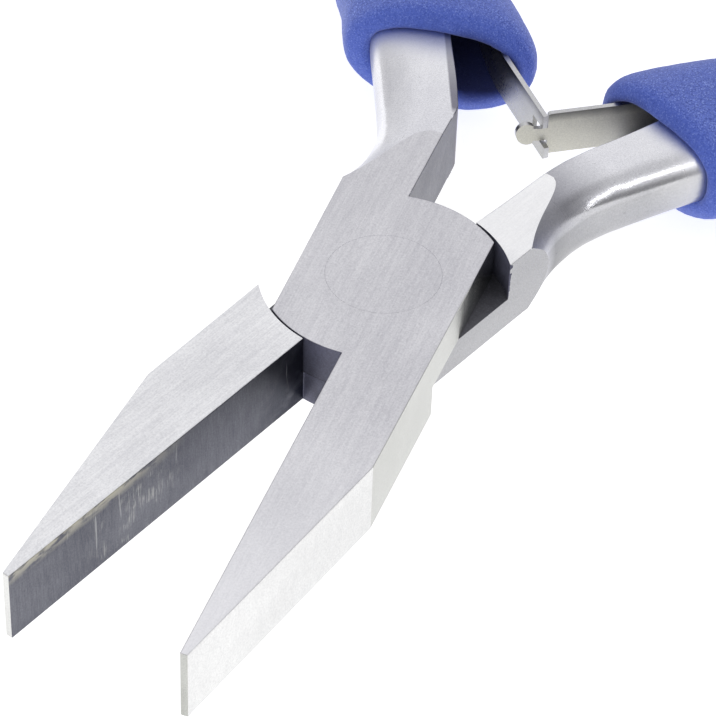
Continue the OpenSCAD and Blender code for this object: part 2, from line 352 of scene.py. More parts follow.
def ground_material(name, turn, lower):
    s = ground_top(name, turn, (LOWER_TONES_AS_LIT if lower else UPPER_TONES_AS_LIT)[GROUND])
    y = split(s.nt, s.vec)[1]
    if lower:       # painted light: the facet behind the joint is lighter
        return recolor(s, ramp(s.nt, y, 6.0, 9.0, 0.0, 0.5), (1.0, 1.0, 1.0)).mat
    # the upper jaw is lighter towards its tip
    return recolor(s, ramp(s.nt, y, -14.0, -38.0, 0.0, 0.42), (0.98, 0.98, 1.0)).mat


def polished_material(name, turn, lower):
    """The handle's round surfaces."""
    s = brushed(name, turn, ((0.82, 0.82, 0.85), (0.66, 0.66, 0.7)), (4.0, 1.0, 4.0), 4.0, 0.2,
                bump=0.2, mottle=0.6, spots=0.6)
    nt = s.nt
    x, y, z = split(nt, s.vec)
    if lower:       # painted shade low on the outer side and on the flank, and a painted dark reflection behind the facet
        outer = times(nt, ramp(nt, z, 5.3, 4.3), ramp(nt, y, 12.0, 13.5))
        s = recolor(s, outer, (0.6, 0.6, 0.59), "MULTIPLY")
        dark_reflection = times(nt, ramp(nt, y, 22.0, 16.0), ramp(nt, z, 4.5, 5.4))
        s = recolor(s, dark_reflection, (0.44, 0.44, 0.46), "MULTIPLY")
        flank_shade = times(nt, ramp(nt, y, 19.0, 14.5), ramp(nt, z, 5.0, 4.2))
        s = recolor(s, flank_shade, (0.8, 0.8, 0.8), "MULTIPLY")
    else:           # painted shade low on the outer side, and dark along the worn inner edge
        s = recolor(s, ramp(nt, z, 5.0, 4.0), (0.75, 0.75, 0.74), "MULTIPLY")
        across = plus(nt, times(nt, y, 0.405), x)
        worn = times(nt, ramp(nt, across, 6.89, 7.05), ramp(nt, y, 20.6, 21.4))
        s = recolor(s, worn, (0.3, 0.295, 0.34), "MULTIPLY")
    # paler where the grip begins, a painted sheen; satin there and near the head too
    s = recolor(s, ramp(nt, y, 23.0, 28.5, 0.0, 0.3), (1.0, 1.0, 1.0))
    satin = plus(nt, ramp(nt, y, 13.5, 16.0, 0.27, 0.0), ramp(nt, y, 25.5, 29.5, 0.2, 0.45))
    put(nt, s.bsdf.inputs["Roughness"], satin)
    return s.mat


def inner_material(name, turn):
    """The handle's dark inner side, darker behind the kink."""
    s = brushed(name, turn, ((0.3, 0.3, 0.33), (0.11, 0.11, 0.14)), (3.0, 2.4, 1.1), 6.0, 0.38,
                bump=0.5, mottle=0.4, spots=0.6)
    y = split(s.nt, s.vec)[1]
    return recolor(s, ramp(s.nt, y, 20.5, 21.5, 0.0, 0.8), (0.13, 0.125, 0.16)).mat


def half_materials(tag, turn, lower):
    tones = LOWER_TONES_AS_LIT if lower else UPPER_TONES_AS_LIT
    mats = {
        GROUND: ground_material(tag + "_ground", turn, lower),
        SIDE: brushed(tag + "_side", turn, tones[SIDE], (3.0, 7.0, 0.7), 2.0, 0.3 if lower else 0.2,
                      mottle=0.4).mat,
        GRIP: gripping(tag + "_gripping_face", turn),
        JOINT: joint_wall(tag + "_joint", turn, (0.19, 0.192, 0.28)),
        POLISHED: polished_material(tag + "_polished", turn, lower),
        INNER: inner_material(tag + "_inner_side", turn),
        TAPER: brushed(tag + "_taper", turn, tones[TAPER], (4.0, 5.0, 2.5), 2.5, 0.34, mottle=0.4).mat,
        FLOOR: joint_wall(tag + "_lap_floor", turn, (0.19, 0.19, 0.225)),
        TANG: brushed(tag + "_tang", turn, tones[TANG], (1.2, 1.2, 0.8), 2.0, 0.26, bump=0.12,
                      mottle=0.75).mat}
    return [mats[surface] for surface in range(len(mats))]


# ---------------------------------------------------------------- mesh helpers
class Builder:
    """Collects shared vertices and faces, then makes an object."""

    def __init__(self):
        self.co, self.index, self.faces, self.tags = [], {}, [], []

    def v(self, x, y, z):
        key = (round(x, 5), round(y, 5), round(z, 5))
        if key not in self.index:
            self.index[key] = len(self.co)
            self.co.append((x, y, z))
        return self.index[key]

    def face(self, points, tag=0):
        """A face through points. Repeated corners are dropped, and so is a face that has fewer
        than three left."""
        ids = []
        for p in points:
            i = self.v(*p)
            if not ids or ids[-1] != i:
                ids.append(i)
        if len(ids) > 1 and ids[0] == ids[-1]:
            ids.pop()
        if len(set(ids)) < 3:
            return
        self.faces.append(ids)
        self.tags.append(tag)

    def object(self, name, matrix, materials):
        mesh = bpy.data.meshes.new(name)
        mesh.from_pydata([tuple(matrix @ Vector(c)) for c in self.co], [], self.faces)
        for mat in materials:
            mesh.materials.append(mat)
        mesh.polygons.foreach_set("material_index", self.tags)
        mesh.update()
        turn_outwards(mesh)
        return link(name, mesh)


def turn_outwards(mesh):
    """Makes all normals point out of the solid."""
    bm = bmesh.new()
    bm.from_mesh(mesh)
    bmesh.ops.recalc_face_normals(bm, faces=bm.faces)
    bm.to_mesh(mesh)
    bm.free()


def link(name, data):
    o = bpy.data.objects.new(name, data)
    bpy.context.scene.collection.objects.link(o)
    return o


def bevel(o, width, method):
    mod = o.modifiers.new("edges", "BEVEL")
    mod.limit_method = method
    mod.width = width
    mod.segments = 2
    mod.harden_normals = True
    return mod


def unit_circle(n, span=360):
    """n steps round a circle; a full circle's last point isn't repeated."""
    points = [(math.cos(a), math.sin(a)) for a in np.linspace(0, math.radians(span), n + 1)]
    return points[:-1] if span == 360 else points


def lathe(b, profile, n, tag=0):
    """The walls that a profile of (radius, z) points sweeps."""
    circle = unit_circle(n)
    for (ra, za), (rb, zb) in zip(profile, profile[1:]):
        for (c0, s0), (c1, s1) in zip(circle, circle[1:] + circle[:1]):
            b.face([(ra * c0, ra * s0, za), (ra * c1, ra * s1, za),
                    (rb * c1, rb * s1, zb), (rb * c0, rb * s0, zb)], tag)


def circle_meets_side(r, sx, sy):
    """Where the circle crosses the head's straight side, by iteration; sx and sy pick the
    quadrant."""
    y = sy * r * 0.7
    for _ in range(30):
        y = sy * math.sqrt(r * r - edge_x(y) ** 2)
    return sx * edge_x(y), y


# ---------------------------------------------------------------- the two halves
# Faces round a section of the handle: inner side, flat, rounded corner, outer side
N_INNER, N_FLAT, N_ARC, N_SIDE = 5, 6, 16, 3
HANDLE_H = 2.98          # half height
SWELL, SWELL_Y, SWELL_RUN = 1.45, 10.0, 4.2      # it is higher near the head
ROUNDNESS = 3            # exponent of the section's superellipse


def handle_ring(y, side):
    """D-shaped section of the handle, with the flats that grinding leaves: points from the
    inner bottom corner up the inner side, over the top, down the outer side and back."""
    xo, xi = smooth(HANDLE, y, 1), smooth(HANDLE, y, side)
    h = HANDLE_H + SWELL * math.exp(-(y - SWELL_Y) / SWELL_RUN)
    w = xi - xo
    limit = -edge_x(y) if y < SQUARE_END_Y else -math.inf
    power = 2 / ROUNDNESS

    def at(a):
        return xi - w * max(math.cos(a), 0) ** power, h * max(math.sin(a), 0) ** power

    # the rounded corner runs from the ground flat to the ground side
    a_top = math.asin((MID_Z / h) ** (1 / power)) if h > MID_Z else math.pi / 2
    cut = (xi - limit) / w
    a_side = math.acos(cut ** (1 / power)) if cut < 1 else 0.0
    zt = min(h, MID_Z)
    if a_top <= a_side:                    # square corner: no rounded part is left
        top_x, side_z = limit, MID_Z
        arc_pts = [(limit, MID_Z)] * (N_ARC + 1)
    else:
        angles = np.linspace(a_top, a_side, N_ARC + 1)
        if h <= MID_Z:
            # points crowd towards the flat end, where the curve turns fast
            u = np.linspace(0, 1, N_ARC + 1)
            angles = a_top + (a_side - a_top) * (u + 0.08 * np.sin(2 * math.pi * u))
        arc_pts = [at(a) for a in angles]
        top_x, side_z = arc_pts[0][0], arc_pts[-1][1]
    inner = [(xi, z) for z in np.linspace(-zt, zt, N_INNER + 1)]
    flat = [(x, zt) for x in np.linspace(xi, top_x, N_FLAT + 1)][1:]
    over = arc_pts[1:]
    side_x = over[-1][0]
    down = [(side_x, z) for z in np.linspace(side_z, -side_z, N_SIDE + 1)][1:]
    under = [(x, -z) for x, z in reversed(arc_pts)][1:]
    back = [(x, -z) for x, z in reversed([(xi, zt)] + flat)][1:-1]
    return [(x, y, MID_Z + z) for x, z in inner + flat + over + down + under + back]


def ring_tags(y):
    """The surface of each face round a section."""
    flat = GROUND if y < FACET_END else POLISHED
    return ([INNER] * N_INNER + [flat] * N_FLAT + [POLISHED] * N_ARC + [TANG] * N_SIDE
            + [POLISHED] * N_ARC + [flat] * N_FLAT)


def at_z(points, z):
    return [(x, y, z) for x, y in points]


def post(point, *heights):
    """The same point at each of the heights."""
    return [(*point, z) for z in heights]


def arc_between(first, last, n):
    """Arc round the pivot through both points, whose radii may differ."""
    radii = [math.hypot(*p) for p in (first, last)]
    angles = [math.atan2(p[1], p[0]) for p in (first, last)]
    points = [(r * math.cos(a), r * math.sin(a))
              for r, a in zip(np.linspace(*radii, n + 1), np.linspace(*angles, n + 1))]
    return [first] + points[1:-1] + [last]


def ragged_corner(corner, height, reach, seed):
    """The milling cutter left a ragged corner where the tang's lap wall meets its side."""
    rng = np.random.default_rng(seed)
    y = corner[1]
    points = post(corner, 0)
    z = 0.12
    while z < height - 0.3:
        chip = rng.uniform(0.0, 0.36) * reach
        step = rng.uniform(0.16, 0.55)
        for dz, k in ((0.0, 0.6), (0.06, 1.0), (step - 0.04, rng.uniform(0.5, 1.0))):
            points.append((-edge_x(y + k * chip), y + k * chip, z + dz))
        z += step + 0.03
    return points + post(corner, height)


def loft_handle(b, side):
    """The handle behind the flat head; sections lie closest where it bends."""
    ys = np.concatenate([[JOIN_Y], np.arange(10.0, 24, 0.3), np.arange(24, 40, 0.8),
                         np.arange(40, 82.5, 2.2), [83.0]])
    rings = [handle_ring(y, side) for y in ys]
    for y, near, far in zip(ys, rings, rings[1:]):
        for i, tag in enumerate(ring_tags(y)):
            j = (i + 1) % len(near)
            b.face([near[i], near[j], far[j], far[i]], tag)
    b.face(rings[-1], JOINT)


def build_half(name, side, lower, burr_seed):
    """One half. It is built as the upper half, with its lap plate on top; the lower half is
    the same thing turned over, with its own plate thickness."""
    b = Builder()
    top = HEAD_T
    lap = HEAD_T - LAP_Z + LAP_GAP if lower else LAP_Z + LAP_GAP      # the plate's underside
    xi = smooth(HANDLE, JOIN_Y, side)

    # the outline's corners: the jaw from its root to its tip, then the head's two sides
    root, tip, taper = (JAW_CLEAR, -JAW_L), (TIP_W, -JAW_L), (TAPER_W, -TAPER_Y)
    right, left = (edge_x(0), 0.0), (-edge_x(0), 0.0)
    plate_back = arc_between(circle_meets_side(LAP_R, 1, 1), (xi, math.sqrt(LAP_R**2 - xi**2)), 40)
    plate_front = arc_between(circle_meets_side(LAP_R, -1, -1),
                              (JAW_CLEAR, -math.sqrt(LAP_R**2 - JAW_CLEAR**2)), 36)
    jaw_wall = arc_between((JAW_CLEAR, -math.sqrt(ARC_R**2 - JAW_CLEAR**2)),
                           circle_meets_side(ARC_R, 1, -1), 40)
    tang_wall = arc_between(circle_meets_side(ARC_OUT_R, -1, 1),
                            (xi, math.sqrt(ARC_IN_R**2 - xi**2)), 40)

    # the handle's first section, and where its inner side, rounded corner and outer side end
    ring = handle_ring(JOIN_Y, side)
    c_top, c_side = N_INNER, N_INNER + N_FLAT + N_ARC
    s_end = c_side + N_SIDE
    c_under = s_end + N_ARC

    # top face, in two parts either side of the pivot hole
    half_turn = unit_circle(32, 180)
    hole = RIVET_HEAD_R + SINK_GAP
    b.face(at_z([right] + plate_back, top) + ring[c_top:c_side + 1] + post(left, top)
           + [(-hole * c, hole * s, top) for c, s in half_turn], GROUND)
    b.face(at_z([left] + plate_front + [root, tip, taper, right], top)
           + [(hole * c, -hole * s, top) for c, s in half_turn], GROUND)
    # pivot hole: countersink and bore
    bore = RIVET_R + BORE_GAP
    lathe(b, [(hole, top), (bore, top - RIVET_SINK), (bore, lap)], 64, JOINT)
    # underside of the lap plate
    b.face(at_z([left] + tang_wall + plate_back[::-1] + [right], lap)
           + [(bore * c, bore * s, lap) for c, s in half_turn], FLOOR)
    b.face(at_z([right] + jaw_wall[::-1] + plate_front[::-1] + [left], lap)
           + [(-bore * c, -bore * s, lap) for c, s in half_turn], FLOOR)
    # other face of the jaw and of the tang
    b.face(at_z([root, tip, taper] + jaw_wall[::-1], 0), GROUND)
    b.face(at_z(tang_wall, 0) + [ring[0]] + ring[:c_under - 1:-1][:N_FLAT + 1], GROUND)
    # walls
    ragged = ragged_corner(tang_wall[0], lap, 1 if lower else 0.5, burr_seed)
    b.face(post(root, 0, top) + post(plate_front[-1], top, lap) + post(jaw_wall[0], lap, 0), GRIP)
    b.face(at_z([root, tip], 0) + at_z([tip, root], top), SIDE)
    b.face(at_z([tip, taper], 0) + at_z([taper, tip], top), TAPER)
    b.face(post(taper, 0, top) + post(right, top) + post(plate_back[0], top, lap) + post(right, lap)
           + post(jaw_wall[-1], lap, 0), SIDE)
    for line, low, high, tag in ((plate_back, lap, top, SIDE), (plate_front, lap, top, JOINT),
                                 (jaw_wall, 0, lap, JOINT), (tang_wall[1:], 0, lap, JOINT)):
        for p, q in zip(line, line[1:]):
            b.face(at_z([p, q], low) + at_z([q, p], high), tag)
    b.face(post(tang_wall[1], lap, 0) + ragged, JOINT)
    b.face(post(plate_back[-1], lap, top) + ring[c_top::-1] + post(tang_wall[-1], 0, lap), INNER)
    b.face(post(plate_front[0], top) + post(left, top) + ring[c_side:s_end + 1] + ragged
           + post(left, lap) + post(plate_front[0], lap), TANG if lower else SIDE)
    loft_handle(b, side)

    if lower:   # turned over
        b.co = [(x, y, HEAD_T - z) for x, y, z in b.co]
    o = b.object(name, pose_matrix(lower), half_materials(name, open_turn(lower), lower))
    finish_half(o, lower)
    return o


def finish_half(o, lower):
    """Sharp edges, and fine bevels on the edges outside the joint."""
    to_half = pose_matrix(lower).inverted()
    lap = LAP_Z - LAP_GAP if lower else LAP_Z + LAP_GAP
    mesh = o.data
    bm = bmesh.new()
    bm.from_mesh(mesh)
    weight = bm.edges.layers.float.new("bevel_weight_edge")
    for e in bm.edges:
        if len(e.link_faces) != 2:
            continue
        angle = math.degrees(e.calc_face_angle(0))
        ends = [to_half @ v.co for v in e.verts]
        radii = [math.hypot(p.x, p.y) for p in ends]
        at_lap = all(abs(p.z - lap) < 0.01 for p in ends)
        at_wall = all(ARC_IN_R - 0.02 < r < ARC_OUT_R + 0.3 for r in radii)
        in_hole = all(r < RIVET_HEAD_R + 0.1 for r in radii)
        between = len({f.material_index for f in e.link_faces}) > 1
        if angle > 28 or between and angle > 9:
            e.smooth = False
        if angle > 50 and not at_lap and not at_wall and not in_hole and ends[0].y < 60:
            e[weight] = 1.0
    for f in bm.faces:
        f.smooth = True
    bm.to_mesh(mesh)
    bm.free()
    mod = bevel(o, 0.11 * MM, "WEIGHT")
    mod.use_clamp_overlap = False
    mod.miter_outer = "MITER_SHARP"


upper = build_half("upper_half_ground", UPPER, False, 3)
lower = build_half("lower_half_ground", LOWER, True, 4)
for o, node_name, body in ((upper, "upper_half", "upper_handle"), (lower, "lower_half", "lower_handle")):
    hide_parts(node_name)
    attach(o, body)


# ---------------------------------------------------------------- rivet
def build_rivet():
    """Countersunk at both ends and ground flush."""
    b = Builder()
    rim = 0.35           # the ground ends drop by a micron towards the edge
    profile = [(RIVET_HEAD_R - rim, 0.0), (RIVET_HEAD_R, 0.001), (RIVET_R, RIVET_SINK),
               (RIVET_R, HEAD_T - RIVET_SINK), (RIVET_HEAD_R, HEAD_T - 0.001),
               (RIVET_HEAD_R - rim, HEAD_T)]
    steps = 96
    lathe(b, profile, steps)
    circle = unit_circle(steps)
    for (r, z), ends in ((profile[0], circle[::-1]), (profile[-1], circle)):
        b.face([(r * c, r * s, z) for c, s in ends])
    mat = ground_top("rivet_ground", OPEN_HALF, ((0.72, 0.715, 0.74), (0.53, 0.525, 0.56))).mat
    o = b.object("pivot_rivet_ground", Matrix.Scale(MM, 4), [mat])
    o.data.set_sharp_from_angle(angle=math.radians(25))
    return o


rivet = build_rivet()
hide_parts("pivot_rivet")
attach(rivet, "lower_handle")

# ---------------------------------------------------------------- leaf springs
LEAF_T, LEAF_W, LEAF_L = 0.42, 4.1, 30.2
ROOT_Y, ROOT_RISE, ROOT_LEAN = 50.6, 0.2, 17.3  # on the handle's inner side, and the lean there
LEAF_BIAS = 1.3          # degrees that the strip is turned at rest
LEAF_LEAN, LEAF_RUN = 28.0, 18.0                # the straight stretch
LEAF_BEND_R, TIP_LEAN = 30.0, 39.5              # the bend, and the lean beyond it
BEND_L = LEAF_BEND_R * math.radians(TIP_LEAN - LEAF_LEAN)
PAD_L, PAD_BEND = 3.0, 1.2                      # the pad behind the root, and its short bend
SLOT_H, SLOT_BACK, SLOT_ROUND = 1.6, 0.1, 0.35  # height, end before LEAF_L, depth of the round end
PRONG_L, PRONG_ROUND = 1.5, 0.25                # beyond LEAF_L
LOWER_PRONG_MORE, PRONG_CHAMFER = 0.6, 0.2
NECK_H, NECK_HALF, NECK_BACK = 1.25, 0.52, 0.72  # height, half length, start before LEAF_L
TAB_R, TAB_SQUASH, TAB_TILT = 1.05, 0.88, 0.16
ROOT = (Vector((smooth(HANDLE, ROOT_Y, UPPER), ROOT_Y))
        + (ROOT_RISE + LEAF_T / 2) * on_circle(ROOT_LEAN))


def heading(deg):
    """Forwards along the tool, leaning towards the middle plane."""
    return Vector((math.sin(math.radians(deg)), -math.cos(math.radians(deg))))


def leaf_point(s):
    """(point, direction) on the strip's middle line at s from its root."""
    if s < -PAD_BEND:        # the pad leans as the handle does
        pad = ROOT - heading((LEAF_LEAN + ROOT_LEAN) / 2) * PAD_BEND
        return pad + heading(ROOT_LEAN) * (s + PAD_BEND), heading(ROOT_LEAN)
    if s < 0:
        lean = LEAF_LEAN - (ROOT_LEAN - LEAF_LEAN) * s / PAD_BEND
        return ROOT + heading((LEAF_LEAN + lean) / 2) * s, heading(lean)
    if s <= LEAF_RUN:
        return ROOT + heading(LEAF_LEAN) * s, heading(LEAF_LEAN)
    centre = ROOT + heading(LEAF_LEAN) * LEAF_RUN + on_circle(LEAF_LEAN, LEAF_BEND_R)
    if s <= LEAF_RUN + BEND_L:
        lean = LEAF_LEAN + math.degrees((s - LEAF_RUN) / LEAF_BEND_R)
        return centre - on_circle(lean, LEAF_BEND_R), heading(lean)
    end = centre - on_circle(TIP_LEAN, LEAF_BEND_R)
    return end + heading(TIP_LEAN) * (s - LEAF_RUN - BEND_L), heading(TIP_LEAN)


# Across a strip are three cells: lower, middle and upper. A station says, at s from the
# root, where the middle cell's edge and the strip's edge are and which cells are there.
Station = namedtuple("Station", "s mid out cells")
ALL = (True, True, True)
MIDDLE = (False, True, False)
OUTER = (True, False, True)
LOWEST = (True, False, False)


def strip_stations(end, steps):
    """Where the strip is cut across, from its pad to the shape at its end."""
    return [*np.linspace(-PAD_L, -PAD_BEND, 4), *np.linspace(-0.9, 0, 4), *np.linspace(1, LEAF_L - 3, 34),
            *np.linspace(LEAF_L - 2.4, end, steps)]


def fork_stations():
    """A slot with a round end between two prongs, the lower one longer."""
    mid, out = SLOT_H / 2, LEAF_W / 2
    slot, prong = LEAF_L - SLOT_BACK, LEAF_L + PRONG_L
    stations = [Station(s, mid, out, ALL) for s in strip_stations(slot - SLOT_ROUND, 4)]
    ends = [slot - SLOT_ROUND * math.cos(math.radians(15 * k)) for k in range(6)]
    ends += list(np.linspace(slot, prong - PRONG_ROUND, 6)[1:])
    ends += [prong - PRONG_ROUND + PRONG_ROUND * math.sin(math.radians(30 * k)) for k in (1, 2, 3)]
    stations += [Station(s, mid, out, OUTER) for s in ends]
    chamfer = LOWER_PRONG_MORE - PRONG_CHAMFER
    for s in (0.02, chamfer, chamfer + PRONG_CHAMFER / 2, LOWER_PRONG_MORE):
        stations.append(Station(prong + s, mid, out - max(0, s - chamfer), LOWEST))
    return stations


def tab_stations():
    """A neck that carries a round head."""
    mid, out = NECK_H / 2, LEAF_W / 2
    neck = LEAF_L - NECK_BACK
    stations = [Station(s, mid, out, ALL) for s in strip_stations(neck - 0.2, 5)]
    stations.append(Station(neck, mid, out - 0.1, ALL))
    stations += [Station(s, mid, mid, MIDDLE) for s in (neck + 0.001, LEAF_L)]
    start = math.asin(NECK_HALF / TAB_R)
    stations.append(Station(LEAF_L + NECK_HALF - 0.001, mid, TAB_R * math.cos(start), ALL))
    for a in np.linspace(-start, math.radians(86), 15):
        half = TAB_R * math.cos(a)
        s = LEAF_L + 2 * NECK_HALF + TAB_SQUASH * TAB_R * math.sin(a)
        stations.append(Station(s, min(mid, 0.6 * half), half, ALL))
    return stations


def build_leaf(name, stations, tilt, lower, face_mat):
    """A strip cut to its outline and bent: cells in three rows across the strip."""
    b = Builder()
    ht = LEAF_T / 2

    def pt(s, w, d):
        """The point at s along, w across and d through the strip."""
        p, h = leaf_point(s)
        q = p + Vector((-h.y, h.x)) * d
        return q.x, q.y, MID_Z + w + tilt * max(0.0, s - LEAF_L)

    # which cells lie between each station and the next, with none before and after the strip
    rows = [[x and y for x, y in zip(p.cells, q.cells)] for p, q in zip(stations, stations[1:])]
    none = [False] * 3
    for p, q, before, row, after in zip(stations, stations[1:], [none] + rows, rows, rows[1:] + [none]):
        levels_p, levels_q = ((-t.out, -t.mid, t.mid, t.out) for t in (p, q))
        for k in range(3):
            if not row[k]:
                continue
            p0, p1 = ((p.s, w) for w in levels_p[k:k + 2])
            q0, q1 = ((q.s, w) for w in levels_q[k:k + 2])
            b.face([pt(*c, ht) for c in (p0, p1, q1, q0)], 0)
            b.face([pt(*c, -ht) for c in (q0, q1, p1, p0)], 0)
            open_sides = (((p0, q0), k == 0 or not row[k - 1]), ((q1, p1), k == 2 or not row[k + 1]),
                          ((p1, p0), not before[k]), ((q0, q1), not after[k]))
            for (c, d), is_open in open_sides:
                if is_open:
                    b.face([pt(*c, -ht), pt(*c, ht), pt(*d, ht), pt(*d, -ht)], 1)
    base = pose_matrix(lower)
    pivot = Matrix.Translation((ROOT.x, ROOT.y, 0))
    bias = Matrix.Rotation(math.radians(-LEAF_BIAS if lower else LEAF_BIAS), 4, "Z")
    place = base @ pivot @ bias @ pivot.inverted()
    o = b.object(name, place, [face_mat, nickel_edge(name + "_edge")])
    o.data.set_sharp_from_angle(angle=math.radians(30))
    bevel(o, 0.06 * MM, "ANGLE").angle_limit = math.radians(50)
    # the root, and a point beyond it, between which the strip bends
    on_strip = leaf_point(9.0)[0]
    return o, base @ Vector((*ROOT, MID_Z)), place @ Vector((*on_strip, MID_Z))


fork_face = nickel("nickel_strip_a", OPEN_HALF - 35, ((0.55, 0.55, 0.54), (0.42, 0.42, 0.41)), 0.28)
tab_face = nickel("nickel_strip_b", 35 - OPEN_HALF, ((0.74, 0.73, 0.655), (0.59, 0.58, 0.515)), 0.46)
fork, fork_root, fork_on = build_leaf("fork_leaf_spring", fork_stations(), 0, False, fork_face)
tab, tab_root, tab_on = build_leaf("tab_leaf_spring", tab_stations(), TAB_TILT, True, tab_face)
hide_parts("fork_spring")
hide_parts("tab_spring")
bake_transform(fork)
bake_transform(tab)
for node_name in ("fork_spring_rivet", "tab_spring_rivet"):
    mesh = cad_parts[node_name].data
    mesh.materials.clear()
    mesh.materials.append(brushed(node_name + "_steel", 0, ((0.5, 0.5, 0.5), (0.35, 0.35, 0.36)),
                                  (4.0, 4.0, 4.0), 0.0, 0.35).mat)

# ---------------------------------------------------------------- foam grips
# [y at the middle, outer side x, inner side x, half height, slope across, lean]. The half
# height is in mm on the inside and a share of FOAM_H on the outside.
# Each foam was pushed on by hand, so the two mouths sit a little differently.
FOAM_H = 5.8
FOAM_DROP = 0.25         # the foam's outside sits this much below the handle's middle
FOAM_STEPS = 176         # points round a section
FOAM_ROUNDNESS = 2.2     # exponent of the outside's superellipse
LIP_BULGE = 0.55
LIP_STEPS = (0.02, 0.06, 0.12, 0.2, 0.3, 0.42, 0.55, 0.68, 0.8, 0.91)    # from inside to outside
FOAM_REAR = [
    [40.2, -17.9, -4.7, 0.93, 0.34, 0.08], [46, -20.2, -7.7, 0.95, 0.33, 0.05],
    [52, -22, -9.4, 0.98, 0.26, 0], [60, -23.5, -11.5, 1, 0.16, 0],
    [69, -24.3, -13, 1, 0.08, 0], [78, -24.3, -13.5, 0.98, 0, 0],
    [84, -23.6, -13.9, 0.9, 0, 0], [86.4, -22.4, -15, 0.7, 0, 0],
    [87.2, -20.6, -16.8, 0.36, 0, 0]]
FOAM_DEEP = [
    [83.5, -20.6, -16.8, 2.6, 0, 0], [76, -21.1, -16.4, 2.95, 0, 0],
    [66, -20.8, -15.5, 2.95, 0.08, 0], [57, -19.65, -13.4, 2.97, 0.16, 0],
    [54.2, -19, -11, 3.0, 0.2, 0], [50, -18.1, -9.8, 3.0, 0.26, 0.02],
    [45, -16.7, -7.6, 3.0, 0.3, 0.04], [40, -15.1, -5, 3.0, 0.3, 0.05]]
FOAM_OUT_A = [
    [30.7, -13.5, 1.7, 0.85, 0.14, 0.03], [31.2, -14.0, 2.1, 0.92, 0.14, 0.03],
    [32.6, -14.6, 1.9, 0.94, 0.16, 0.05], [35.7, -15.7, -0.6, 0.93, 0.22, 0.07]]
FOAM_IN_A = [
    [35, -13.5, -1.8, 3.0, 0.18, 0.05], [32.2, -12.5, 0.6, 3.0, 0.12, 0.04],
    [30.9, -11.6, 1.0, 3.0, 0.1, 0.03]]
FOAM_OUT_B = [
    [29.5, -12.6, 1.3, 0.83, 0.2, 0.03], [30.1, -13.2, 1.75, 0.88, 0.2, 0.03],
    [31.6, -13.9, 1.5, 0.9, 0.22, 0.03], [35.2, -15.5, -0.9, 0.9, 0.27, 0.05]]
FOAM_IN_B = [
    [35, -13.5, -1.8, 3.0, 0.26, 0.04], [31.2, -12.0, 0.4, 3.0, 0.21, 0.03],
    [29.7, -10.9, 0.5, 3.0, 0.2, 0.03]]


def dense(rows, per_mm):
    """A smooth curve through rows of numbers, by chord length, as more rows."""
    rows = np.array(rows, float)
    step = np.linalg.norm(np.diff(rows[:, :3], axis=0), axis=1)
    pos = np.concatenate([[0], np.cumsum(step)])
    slopes = np.zeros_like(rows)
    last = len(rows) - 1
    for i in range(last + 1):
        a, c = max(i - 1, 0), min(i + 1, last)
        slopes[i] = (rows[c] - rows[a]) / (pos[c] - pos[a])
    out = []
    for i, d in enumerate(step):
        for u in np.linspace(0, 1, max(2, int(d * per_mm)), endpoint=False):
            out.append(hermite(rows[i], rows[i + 1], slopes[i], slopes[i + 1], d, u))
    return out + [rows[last]]


def signed_power(values, power):
    """A power of each value's size, with the value's sign."""
    return np.sign(values) * np.abs(values) ** power


FOAM_COS, FOAM_SIN = (f(np.arange(FOAM_STEPS) * 2 * math.pi / FOAM_STEPS) for f in (np.cos, np.sin))


def foam_outside(row):
    """Section of the outside: a superellipse."""
    y, x_out, x_in, height, slope, lean = row
    u = (x_in - x_out) / 2 * signed_power(FOAM_COS, 2 / FOAM_ROUNDNESS)
    w = height * FOAM_H * signed_power(FOAM_SIN, 2 / FOAM_ROUNDNESS)
    return np.stack([(x_in + x_out) / 2 + u, y + u * slope - w * lean, MID_Z - FOAM_DROP + w], 1)


def foam_inside(row):
    """Section of the hole: the handle's D on the outer side, a flatter arch over the spring."""
    y, x_out, x_in, height, slope, lean = row
    mid = min(smooth(HANDLE, y, UPPER), x_in - 0.1)
    power = 2 / np.where(FOAM_COS < 0, 3.0, 2.1)
    x = mid + np.where(FOAM_COS < 0, mid - x_out, x_in - mid) * signed_power(FOAM_COS, power)
    w = height * signed_power(FOAM_SIN, power)
    return np.stack([x, y + (x - (x_in + x_out) / 2) * slope - w * lean, MID_Z + w], 1)


def foam_rings(out_rows, in_rows):
    """Sections from far in the hole, over the lip and back along the outside. Each comes with its
    rim value, for the lip's smoother skin, and its value of painted shade, for the dark of the hole."""
    ones, zeros = np.ones(FOAM_STEPS), np.zeros(FOAM_STEPS)
    rings = [(foam_inside(row), zeros, ones) for row in dense(in_rows, 1.2)]
    rows = dense(out_rows, 2.6)
    mouth_y = rows[0][0]
    lip_in, lip_out = rings[-1][0], foam_outside(rows[0])
    for u in LIP_STEPS:
        p = lip_in * (1 - u) + lip_out * u
        p[:, 1] -= LIP_BULGE * math.sin(math.pi * u**0.6)
        # painted shade in the hole: dark only on the side that is open round the spring, and fading over
        # the lip
        open_side = np.clip((p[:, 0] - smooth(HANDLE, mouth_y, UPPER)) / 1.5, 0, 1)
        rings.append((p, ones, max(0.0, 1 - u * 1.3) * open_side))
    for row in rows:
        rings.append((foam_outside(row), ones * max(0.0, 1 - (row[0] - mouth_y) / 1.1), zeros))
    return rings


def uneven(o, label, size, depth, strength):
    """Displaces the surface by a fine cloud."""
    clouds = bpy.data.textures.new(o.name + "_" + label, "CLOUDS")
    clouds.noise_scale = size
    clouds.noise_depth = depth
    mod = o.modifiers.new(label, "DISPLACE")
    mod.texture = clouds
    mod.texture_coords = "GLOBAL"
    mod.strength = strength
    mod.mid_level = 0.5


